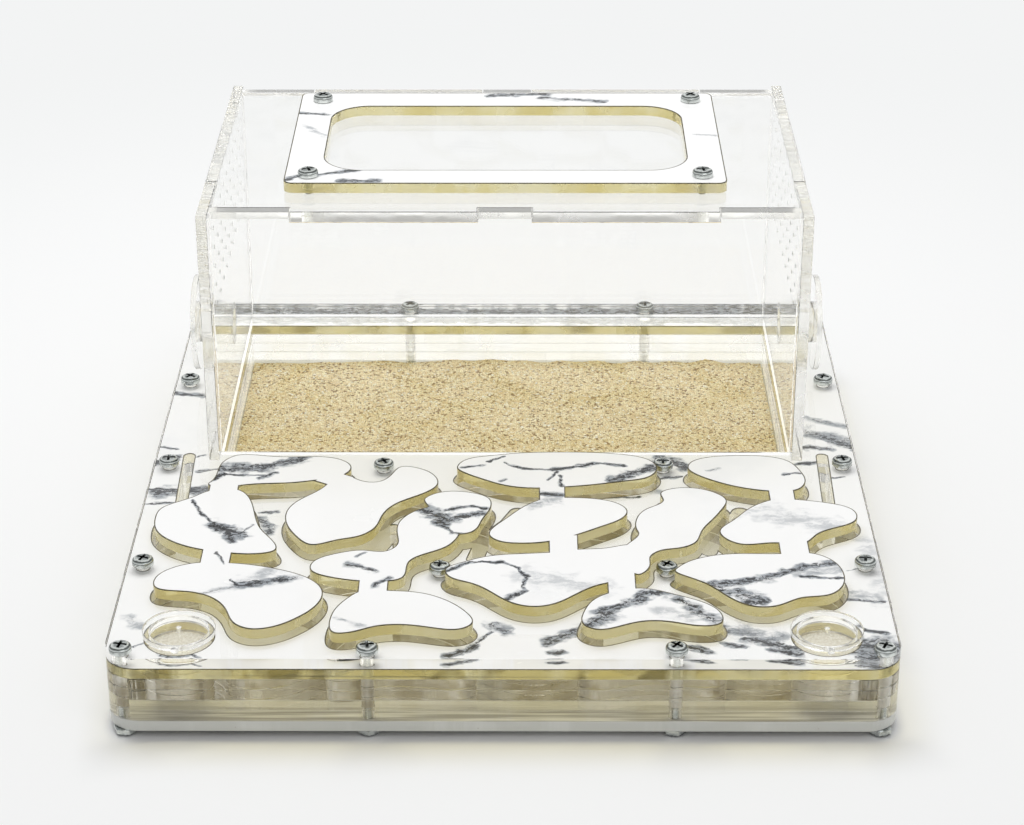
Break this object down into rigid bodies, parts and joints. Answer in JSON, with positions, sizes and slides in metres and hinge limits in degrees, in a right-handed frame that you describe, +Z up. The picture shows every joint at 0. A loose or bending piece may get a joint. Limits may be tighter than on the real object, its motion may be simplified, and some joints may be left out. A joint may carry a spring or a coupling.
{
  "type": "ant habitat",
  "caption": "Ant habitat: a bolted stack of clear sheets with nest chambers under lift-off marble-look shades, and a clear foraging box with a framed lid.",
  "frame": {"origin": "middle of the footprint, on the surface that the feet stand on", "axes": "+Z up, -Y towards the nest side (front), +X to the right seen from the front"},
  "size_m": [0.196, 0.215, 0.1017],
  "materials": {
    "clear_acrylic": "clear cast acrylic, polished faces",
    "amber_acrylic": "yellowish clear acrylic with polished laser-cut edges",
    "milky_acrylic": "milky white acrylic",
    "marble_film": "gloss film, white marble with dark veins",
    "clear_bumper": "translucent soft bumper",
    "zinc_steel": "bright zinc plate",
    "beige_pad": "felt or sponge pad",
    "sand": "loose sand"
  },
  "bodies": {
    "base": {"bottom_plate": "milky_acrylic", "feet": "clear_bumper", "chamber_sheet_1": "clear_acrylic", "chamber_sheet_2": "clear_acrylic", "chamber_sheet_3": "clear_acrylic", "chamber_sheet_4": "clear_acrylic", "marble_plate": "amber_acrylic", "marble_film": "marble_film", "cover_plate": "clear_acrylic", "base_screws": "zinc_steel", "base_nuts": "zinc_steel", "moisture_pad_left": "beige_pad", "moisture_pad_right": "beige_pad", "sand_bed": "sand", "arena_front_wall": "clear_acrylic", "arena_back_wall": "clear_acrylic", "arena_left_wall": "clear_acrylic", "arena_right_wall": "clear_acrylic", "port_tube_left": "clear_acrylic", "port_tube_right": "clear_acrylic"},
    "lid": {"lid_plate": "clear_acrylic", "lid_frame": "amber_acrylic", "lid_frame_film": "marble_film", "lid_screws": "zinc_steel"},
    "left_shade": {"shade_left": "amber_acrylic", "shade_left_film": "marble_film"},
    "mid_left_shade": {"shade_mid_left": "amber_acrylic", "shade_mid_left_film": "marble_film"},
    "middle_shade": {"shade_middle": "amber_acrylic", "shade_middle_film": "marble_film"},
    "right_shade": {"shade_right": "amber_acrylic", "shade_right_film": "marble_film"},
    "left_water_cap": {"water_cap_left": "clear_acrylic"},
    "right_water_cap": {"water_cap_right": "clear_acrylic"},
    "left_port_cap": {"port_cap_left": "clear_acrylic"},
    "right_port_cap": {"port_cap_right": "clear_acrylic"}
  },
  "joints": [
    {"name": "lid_lift", "type": "slide", "parent": "base", "child": "lid", "axis": [0, 0, 1], "range_m": [0, 0.08]},
    {"name": "left_shade_lift", "type": "slide", "parent": "base", "child": "left_shade", "axis": [0, 0, 1], "range_m": [0, 0.03]},
    {"name": "mid_left_shade_lift", "type": "slide", "parent": "base", "child": "mid_left_shade", "axis": [0, 0, 1], "range_m": [0, 0.03]},
    {"name": "middle_shade_lift", "type": "slide", "parent": "base", "child": "middle_shade", "axis": [0, 0, 1], "range_m": [0, 0.03]},
    {"name": "right_shade_lift", "type": "slide", "parent": "base", "child": "right_shade", "axis": [0, 0, 1], "range_m": [0, 0.03]},
    {"name": "left_water_cap_lift", "type": "slide", "parent": "base", "child": "left_water_cap", "axis": [0, 0, 1], "range_m": [0, 0.02]},
    {"name": "right_water_cap_lift", "type": "slide", "parent": "base", "child": "right_water_cap", "axis": [0, 0, 1], "range_m": [0, 0.02]},
    {"name": "left_port_cap_pull", "type": "slide", "parent": "base", "child": "left_port_cap", "axis": [-1, 0, 0], "range_m": [0, 0.03]},
    {"name": "right_port_cap_pull", "type": "slide", "parent": "base", "child": "right_port_cap", "axis": [1, 0, 0], "range_m": [0, 0.03]}
  ]
}
